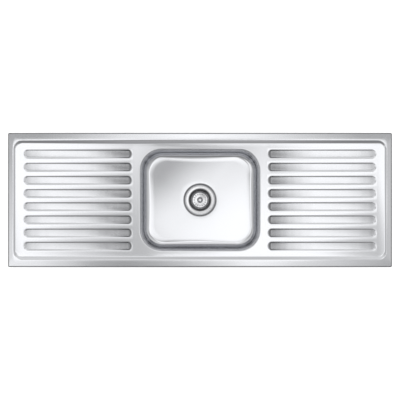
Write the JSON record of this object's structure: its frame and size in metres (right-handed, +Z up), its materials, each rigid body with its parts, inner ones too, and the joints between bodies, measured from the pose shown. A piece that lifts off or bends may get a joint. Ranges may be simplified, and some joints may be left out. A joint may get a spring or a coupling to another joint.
{
  "type": "double drainboard kitchen sink",
  "caption": "Inset steel kitchen sink: central rounded bowl between two fluted drainboards, with a basket strainer waste and screw clips under its rim.",
  "frame": {"origin": "centre of the worktop cut-out, at the level of the worktop's top face, on which the rim's seal rests", "axes": "+X along the sink's length, +Y from the front edge to the back edge, +Z up out of the bowl"},
  "size_m": [1.524, 0.5334, 0.371],
  "materials": {
    "satin_stainless": "satin",
    "bright_stainless": "polished",
    "galvanised_steel": "matte",
    "zinc_plate": "satin",
    "phosphor_bronze": "satin",
    "cellular_seal": "matte",
    "black_rubber": "matte",
    "grey_fibre": "matte",
    "bitumen_pad": "matte"
  },
  "bodies": {
    "sink": {"deck": "satin_stainless", "bowl": "satin_stainless", "rim_seal": "cellular_seal", "clip_rail_front": "galvanised_steel", "clip_rail_back": "galvanised_steel", "clip_rail_left": "galvanised_steel", "clip_rail_right": "galvanised_steel", "stiffener_left_inner": "galvanised_steel", "stiffener_left_outer": "galvanised_steel", "stiffener_right_inner": "galvanised_steel", "stiffener_right_outer": "galvanised_steel", "sound_pad_front": "bitumen_pad", "sound_pad_back": "bitumen_pad", "sound_pad_left": "bitumen_pad", "sound_pad_right": "bitumen_pad", "sound_pad_floor": "bitumen_pad", "strainer_body": "bright_stainless", "flange_gasket": "black_rubber", "body_washer": "black_rubber", "friction_ring": "grey_fibre", "tailpiece_washer": "black_rubber", "lock_nut": "zinc_plate", "tailpiece": "bright_stainless", "coupling_nut": "zinc_plate", "clip_1_bracket": "galvanised_steel", "clip_2_bracket": "galvanised_steel", "clip_3_bracket": "galvanised_steel", "clip_4_bracket": "galvanised_steel", "clip_5_bracket": "galvanised_steel", "clip_6_bracket": "galvanised_steel", "clip_7_bracket": "galvanised_steel", "clip_8_bracket": "galvanised_steel"},
    "plug": {"knob": "bright_stainless", "stem": "bright_stainless", "stopper": "black_rubber", "spring_clip": "phosphor_bronze"},
    "basket": {"basket": "bright_stainless"},
    "screw_1": {"clip_1_screw": "zinc_plate"},
    "claw_1": {"clip_1_claw": "galvanised_steel"},
    "screw_2": {"clip_2_screw": "zinc_plate"},
    "claw_2": {"clip_2_claw": "galvanised_steel"},
    "screw_3": {"clip_3_screw": "zinc_plate"},
    "claw_3": {"clip_3_claw": "galvanised_steel"},
    "screw_4": {"clip_4_screw": "zinc_plate"},
    "claw_4": {"clip_4_claw": "galvanised_steel"},
    "screw_5": {"clip_5_screw": "zinc_plate"},
    "claw_5": {"clip_5_claw": "galvanised_steel"},
    "screw_6": {"clip_6_screw": "zinc_plate"},
    "claw_6": {"clip_6_claw": "galvanised_steel"},
    "screw_7": {"clip_7_screw": "zinc_plate"},
    "claw_7": {"clip_7_claw": "galvanised_steel"},
    "screw_8": {"clip_8_screw": "zinc_plate"},
    "claw_8": {"clip_8_claw": "galvanised_steel"}
  },
  "joints": [
    {"name": "basket_lift", "type": "slide", "parent": "sink", "child": "plug", "axis": [0, 0, 1], "range_m": [0, 0.25]},
    {"name": "basket_spin", "type": "hinge", "parent": "plug", "child": "basket", "pos_m": [0, 0, -0.215], "axis": [0, 0, 1], "continuous": true},
    {"name": "clip_1_turn", "type": "hinge", "parent": "sink", "child": "screw_1", "pos_m": [-0.7333, 0, -0.03], "axis": [0, 0, 1], "range_deg": [0, 5760]},
    {"name": "clip_1_rise", "type": "slide", "parent": "sink", "child": "claw_1", "axis": [0, 0, 1], "range_m": [0, 0.016]},
    {"name": "clip_2_turn", "type": "hinge", "parent": "sink", "child": "screw_2", "pos_m": [-0.5, 0.238, -0.03], "axis": [0, 0, 1], "range_deg": [0, 5760]},
    {"name": "clip_2_rise", "type": "slide", "parent": "sink", "child": "claw_2", "axis": [0, 0, 1], "range_m": [0, 0.016]},
    {"name": "clip_3_turn", "type": "hinge", "parent": "sink", "child": "screw_3", "pos_m": [0, 0.238, -0.03], "axis": [0, 0, 1], "range_deg": [0, 5760]},
    {"name": "clip_3_rise", "type": "slide", "parent": "sink", "child": "claw_3", "axis": [0, 0, 1], "range_m": [0, 0.016]},
    {"name": "clip_4_turn", "type": "hinge", "parent": "sink", "child": "screw_4", "pos_m": [0.5, 0.238, -0.03], "axis": [0, 0, 1], "range_deg": [0, 5760]},
    {"name": "clip_4_rise", "type": "slide", "parent": "sink", "child": "claw_4", "axis": [0, 0, 1], "range_m": [0, 0.016]},
    {"name": "clip_5_turn", "type": "hinge", "parent": "sink", "child": "screw_5", "pos_m": [0.7333, 0, -0.03], "axis": [0, 0, 1], "range_deg": [0, 5760]},
    {"name": "clip_5_rise", "type": "slide", "parent": "sink", "child": "claw_5", "axis": [0, 0, 1], "range_m": [0, 0.016]},
    {"name": "clip_6_turn", "type": "hinge", "parent": "sink", "child": "screw_6", "pos_m": [0.5, -0.238, -0.03], "axis": [0, 0, 1], "range_deg": [0, 5760]},
    {"name": "clip_6_rise", "type": "slide", "parent": "sink", "child": "claw_6", "axis": [0, 0, 1], "range_m": [0, 0.016]},
    {"name": "clip_7_turn", "type": "hinge", "parent": "sink", "child": "screw_7", "pos_m": [0, -0.238, -0.03], "axis": [0, 0, 1], "range_deg": [0, 5760]},
    {"name": "clip_7_rise", "type": "slide", "parent": "sink", "child": "claw_7", "axis": [0, 0, 1], "range_m": [0, 0.016]},
    {"name": "clip_8_turn", "type": "hinge", "parent": "sink", "child": "screw_8", "pos_m": [-0.5, -0.238, -0.03], "axis": [0, 0, 1], "range_deg": [0, 5760]},
    {"name": "clip_8_rise", "type": "slide", "parent": "sink", "child": "claw_8", "axis": [0, 0, 1], "range_m": [0, 0.016]}
  ],
  "couplings": [
    {"joint": "clip_1_turn", "follows": "clip_1_rise", "rad_per_m": 6283.2},
    {"joint": "clip_2_turn", "follows": "clip_2_rise", "rad_per_m": 6283.2},
    {"joint": "clip_3_turn", "follows": "clip_3_rise", "rad_per_m": 6283.2},
    {"joint": "clip_4_turn", "follows": "clip_4_rise", "rad_per_m": 6283.2},
    {"joint": "clip_5_turn", "follows": "clip_5_rise", "rad_per_m": 6283.2},
    {"joint": "clip_6_turn", "follows": "clip_6_rise", "rad_per_m": 6283.2},
    {"joint": "clip_7_turn", "follows": "clip_7_rise", "rad_per_m": 6283.2},
    {"joint": "clip_8_turn", "follows": "clip_8_rise", "rad_per_m": 6283.2}
  ]
}
